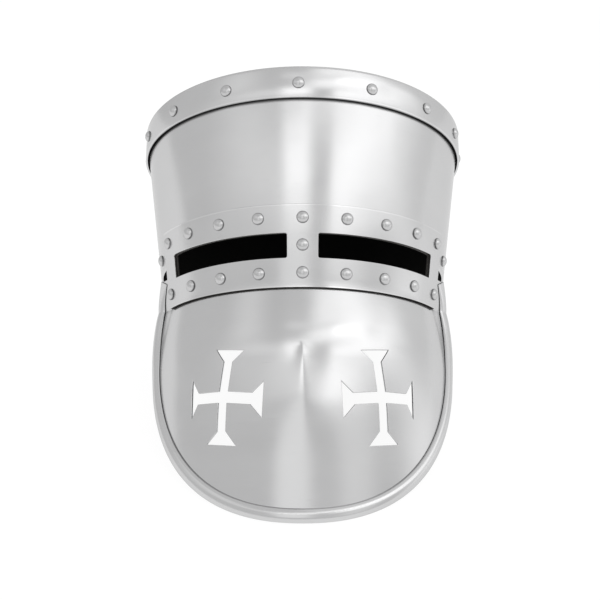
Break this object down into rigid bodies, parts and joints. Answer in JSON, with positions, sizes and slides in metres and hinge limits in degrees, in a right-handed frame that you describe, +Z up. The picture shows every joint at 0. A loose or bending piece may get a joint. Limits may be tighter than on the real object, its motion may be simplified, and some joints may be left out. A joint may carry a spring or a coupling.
{
  "type": "great helm",
  "caption": "Flat-topped steel great helm with a riveted crown cap, a riveted band round the eye slits and a fixed face plate pierced with crosses and bound by a rolled rim.",
  "frame": {"origin": "floor level under the middle of the helm's bounding box", "axes": "the helm lies leaning back 35.5 degrees on its chin rim and the back edge of its skull: +Z up, the face towards -Y and up, the crown towards +Y and up, +X to the right of the picture"},
  "size_m": [0.2414, 0.3712, 0.2343],
  "materials": {
    "satin_steel": "satin polished sheet steel",
    "rivet_steel": "polished steel rivet heads"
  },
  "bodies": {
    "root": {"skull": "satin_steel", "crown_cap": "satin_steel", "ocular_band": "satin_steel", "face_plate": "satin_steel", "face_rim": "satin_steel", "crown_rivet_01": "rivet_steel", "crown_rivet_02": "rivet_steel", "crown_rivet_03": "rivet_steel", "crown_rivet_04": "rivet_steel", "crown_rivet_05": "rivet_steel", "crown_rivet_06": "rivet_steel", "crown_rivet_07": "rivet_steel", "crown_rivet_08": "rivet_steel", "crown_rivet_09": "rivet_steel", "crown_rivet_10": "rivet_steel", "crown_rivet_11": "rivet_steel", "crown_rivet_12": "rivet_steel", "crown_rivet_13": "rivet_steel", "crown_rivet_14": "rivet_steel", "crown_rivet_15": "rivet_steel", "crown_rivet_16": "rivet_steel", "brow_rivet_1": "rivet_steel", "brow_rivet_2": "rivet_steel", "brow_rivet_3": "rivet_steel", "brow_rivet_4": "rivet_steel", "brow_rivet_5": "rivet_steel", "brow_rivet_6": "rivet_steel", "brow_rivet_7": "rivet_steel", "brow_rivet_8": "rivet_steel", "brow_rivet_9": "rivet_steel", "cheek_rivet_1": "rivet_steel", "cheek_rivet_2": "rivet_steel", "cheek_rivet_3": "rivet_steel", "cheek_rivet_4": "rivet_steel", "cheek_rivet_5": "rivet_steel", "cheek_rivet_6": "rivet_steel", "cheek_rivet_7": "rivet_steel", "cheek_rivet_8": "rivet_steel", "cheek_rivet_9": "rivet_steel", "nasal_rivet": "rivet_steel", "side_rivet_left": "rivet_steel", "side_rivet_right": "rivet_steel"}
  },
  "joints": []
}
